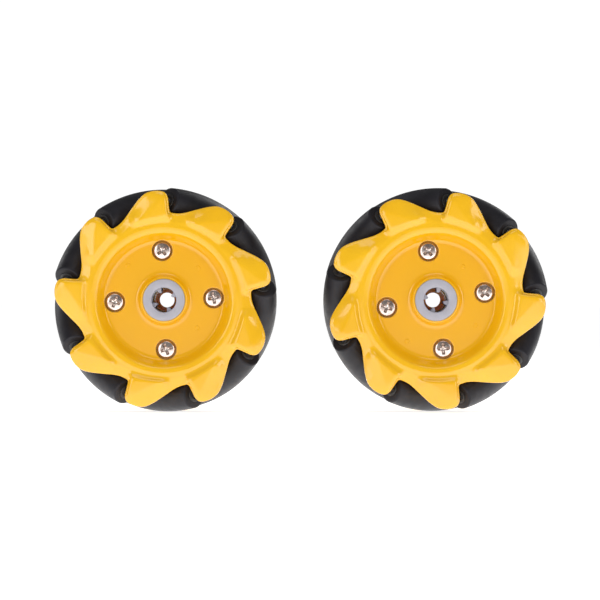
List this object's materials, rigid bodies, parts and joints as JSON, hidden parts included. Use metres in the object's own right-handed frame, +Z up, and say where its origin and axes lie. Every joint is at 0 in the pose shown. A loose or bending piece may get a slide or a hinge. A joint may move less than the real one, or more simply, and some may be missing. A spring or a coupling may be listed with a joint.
{
  "type": "mecanum wheel pair",
  "caption": "Matched left and right mecanum wheels: two screwed plates around a shaft coupler carry free-turning barrel rollers at 45 degrees.",
  "frame": {"origin": "midway between the two wheels, on their axles and midway through their width", "axes": "+X from the left-handed wheel to the right-handed wheel, +Y along both axles away from the screw heads, +Z up"},
  "size_m": [0.1324, 0.03, 0.0599],
  "materials": {
    "wheel_plastic": "glossy moulded yellow plastic",
    "coupler_plastic": "satin pale blue-grey plastic",
    "roller_rubber": "satin near-black rubber",
    "axle_steel": "ground steel pin",
    "screw_steel": "bright nickel plate"
  },
  "bodies": {
    "left_wheel_hub": {"left_front_plate": "wheel_plastic", "left_rear_plate": "wheel_plastic", "left_shaft_coupler": "coupler_plastic", "left_screw_1": "screw_steel", "left_screw_2": "screw_steel", "left_screw_3": "screw_steel", "left_screw_4": "screw_steel", "left_roller_axle_1": "axle_steel", "left_roller_axle_2": "axle_steel", "left_roller_axle_3": "axle_steel", "left_roller_axle_4": "axle_steel", "left_roller_axle_5": "axle_steel", "left_roller_axle_6": "axle_steel", "left_roller_axle_7": "axle_steel", "left_roller_axle_8": "axle_steel", "left_roller_axle_9": "axle_steel"},
    "left_roller_1": {"left_roller_1": "roller_rubber"},
    "left_roller_2": {"left_roller_2": "roller_rubber"},
    "left_roller_3": {"left_roller_3": "roller_rubber"},
    "left_roller_4": {"left_roller_4": "roller_rubber"},
    "left_roller_5": {"left_roller_5": "roller_rubber"},
    "left_roller_6": {"left_roller_6": "roller_rubber"},
    "left_roller_7": {"left_roller_7": "roller_rubber"},
    "left_roller_8": {"left_roller_8": "roller_rubber"},
    "left_roller_9": {"left_roller_9": "roller_rubber"},
    "right_wheel_hub": {"right_front_plate": "wheel_plastic", "right_rear_plate": "wheel_plastic", "right_shaft_coupler": "coupler_plastic", "right_screw_1": "screw_steel", "right_screw_2": "screw_steel", "right_screw_3": "screw_steel", "right_screw_4": "screw_steel", "right_roller_axle_1": "axle_steel", "right_roller_axle_2": "axle_steel", "right_roller_axle_3": "axle_steel", "right_roller_axle_4": "axle_steel", "right_roller_axle_5": "axle_steel", "right_roller_axle_6": "axle_steel", "right_roller_axle_7": "axle_steel", "right_roller_axle_8": "axle_steel", "right_roller_axle_9": "axle_steel"},
    "right_roller_1": {"right_roller_1": "roller_rubber"},
    "right_roller_2": {"right_roller_2": "roller_rubber"},
    "right_roller_3": {"right_roller_3": "roller_rubber"},
    "right_roller_4": {"right_roller_4": "roller_rubber"},
    "right_roller_5": {"right_roller_5": "roller_rubber"},
    "right_roller_6": {"right_roller_6": "roller_rubber"},
    "right_roller_7": {"right_roller_7": "roller_rubber"},
    "right_roller_8": {"right_roller_8": "roller_rubber"},
    "right_roller_9": {"right_roller_9": "roller_rubber"}
  },
  "joints": [
    {"name": "drive_right_wheel", "type": "hinge", "parent": "left_wheel_hub", "child": "right_wheel_hub", "pos_m": [0.03625, 0, 0], "axis": [0, 1, 0], "continuous": true},
    {"name": "spin_left_roller_1", "type": "hinge", "parent": "left_wheel_hub", "child": "left_roller_1", "pos_m": [-0.01423, 0, 0.01074], "axis": [0.31, 0.7071, -0.6355], "continuous": true},
    {"name": "spin_left_roller_2", "type": "hinge", "parent": "left_wheel_hub", "child": "left_roller_2", "pos_m": [-0.02628, 0, 0.02238], "axis": [0.646, 0.7071, -0.2876], "continuous": true},
    {"name": "spin_left_roller_3", "type": "hinge", "parent": "left_wheel_hub", "child": "left_roller_3", "pos_m": [-0.043, 0, 0.02355], "axis": [0.6797, 0.7071, 0.1949], "continuous": true},
    {"name": "spin_left_roller_4", "type": "hinge", "parent": "left_wheel_hub", "child": "left_roller_4", "pos_m": [-0.05656, 0, 0.0137], "axis": [0.3954, 0.7071, 0.5862], "continuous": true},
    {"name": "spin_left_roller_5", "type": "hinge", "parent": "left_wheel_hub", "child": "left_roller_5", "pos_m": [-0.06062, 0, -0.00256], "axis": [-0.0739, 0.7071, 0.7032], "continuous": true},
    {"name": "spin_left_roller_6", "type": "hinge", "parent": "left_wheel_hub", "child": "left_roller_6", "pos_m": [-0.05327, 0, -0.01762], "axis": [-0.5086, 0.7071, 0.4912], "continuous": true},
    {"name": "spin_left_roller_7", "type": "hinge", "parent": "left_wheel_hub", "child": "left_roller_7", "pos_m": [-0.03796, 0, -0.02444], "axis": [-0.7054, 0.7071, 0.0493], "continuous": true},
    {"name": "spin_left_roller_8", "type": "hinge", "parent": "left_wheel_hub", "child": "left_roller_8", "pos_m": [-0.02185, 0, -0.01982], "axis": [-0.5721, 0.7071, -0.4156], "continuous": true},
    {"name": "spin_left_roller_9", "type": "hinge", "parent": "left_wheel_hub", "child": "left_roller_9", "pos_m": [-0.01248, 0, -0.00593], "axis": [-0.1711, 0.7071, -0.6861], "continuous": true},
    {"name": "spin_right_roller_1", "type": "hinge", "parent": "right_wheel_hub", "child": "right_roller_1", "pos_m": [0.05992, 0, -0.00634], "axis": [0.183, 0.7071, 0.683], "continuous": true},
    {"name": "spin_right_roller_2", "type": "hinge", "parent": "right_wheel_hub", "child": "right_roller_2", "pos_m": [0.0503, 0, -0.02007], "axis": [0.5792, 0.7071, 0.4056], "continuous": true},
    {"name": "spin_right_roller_3", "type": "hinge", "parent": "right_wheel_hub", "child": "right_roller_3", "pos_m": [0.03411, 0, -0.02441], "axis": [0.7044, 0.7071, -0.0616], "continuous": true},
    {"name": "spin_right_roller_4", "type": "hinge", "parent": "right_wheel_hub", "child": "right_roller_4", "pos_m": [0.01893, 0, -0.01732], "axis": [0.5, 0.7071, -0.5], "continuous": true},
    {"name": "spin_right_roller_5", "type": "hinge", "parent": "right_wheel_hub", "child": "right_roller_5", "pos_m": [0.01184, 0, -0.00214], "axis": [0.0616, 0.7071, -0.7044], "continuous": true},
    {"name": "spin_right_roller_6", "type": "hinge", "parent": "right_wheel_hub", "child": "right_roller_6", "pos_m": [0.01618, 0, 0.01405], "axis": [-0.4056, 0.7071, -0.5792], "continuous": true},
    {"name": "spin_right_roller_7", "type": "hinge", "parent": "right_wheel_hub", "child": "right_roller_7", "pos_m": [0.02991, 0, 0.02367], "axis": [-0.683, 0.7071, -0.183], "continuous": true},
    {"name": "spin_right_roller_8", "type": "hinge", "parent": "right_wheel_hub", "child": "right_roller_8", "pos_m": [0.0466, 0, 0.0222], "axis": [-0.6409, 0.7071, 0.2988], "continuous": true},
    {"name": "spin_right_roller_9", "type": "hinge", "parent": "right_wheel_hub", "child": "right_roller_9", "pos_m": [0.05845, 0, 0.01035], "axis": [-0.2988, 0.7071, 0.6409], "continuous": true}
  ]
}
